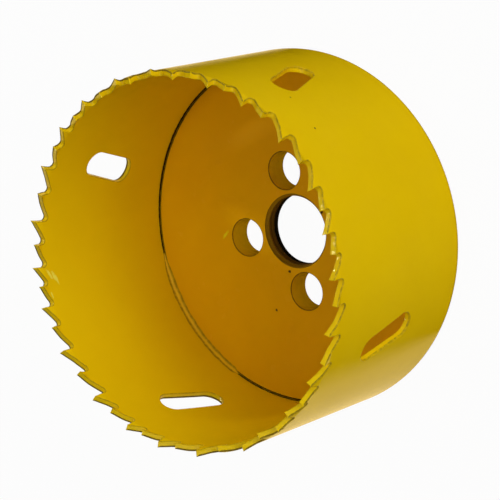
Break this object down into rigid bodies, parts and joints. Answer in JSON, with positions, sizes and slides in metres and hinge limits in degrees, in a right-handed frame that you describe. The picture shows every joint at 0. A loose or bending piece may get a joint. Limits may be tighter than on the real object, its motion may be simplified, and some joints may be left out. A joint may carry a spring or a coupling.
{
  "type": "hole saw",
  "caption": "Lacquered bi-metal hole saw: toothed cup wall with leaning knock-out slots, welded to a thick end cap with a tapped arbor hole and drive pin holes",
  "frame": {"origin": "centre of the end cap's back face, on the saw's axis", "axes": "+Z runs from the back face to the tooth tips; +X and +Y run out through the middles of two of the knock-out slots"},
  "size_m": [0.0759, 0.076, 0.0441],
  "materials": {
    "yellow_lacquer": "glossy yellow lacquer on tool steel",
    "cap_lacquer": "glossy yellow lacquer on turned steel, thin in the thread"
  },
  "bodies": {
    "root": {"cup_wall": "yellow_lacquer", "end_cap": "cap_lacquer"}
  },
  "joints": []
}
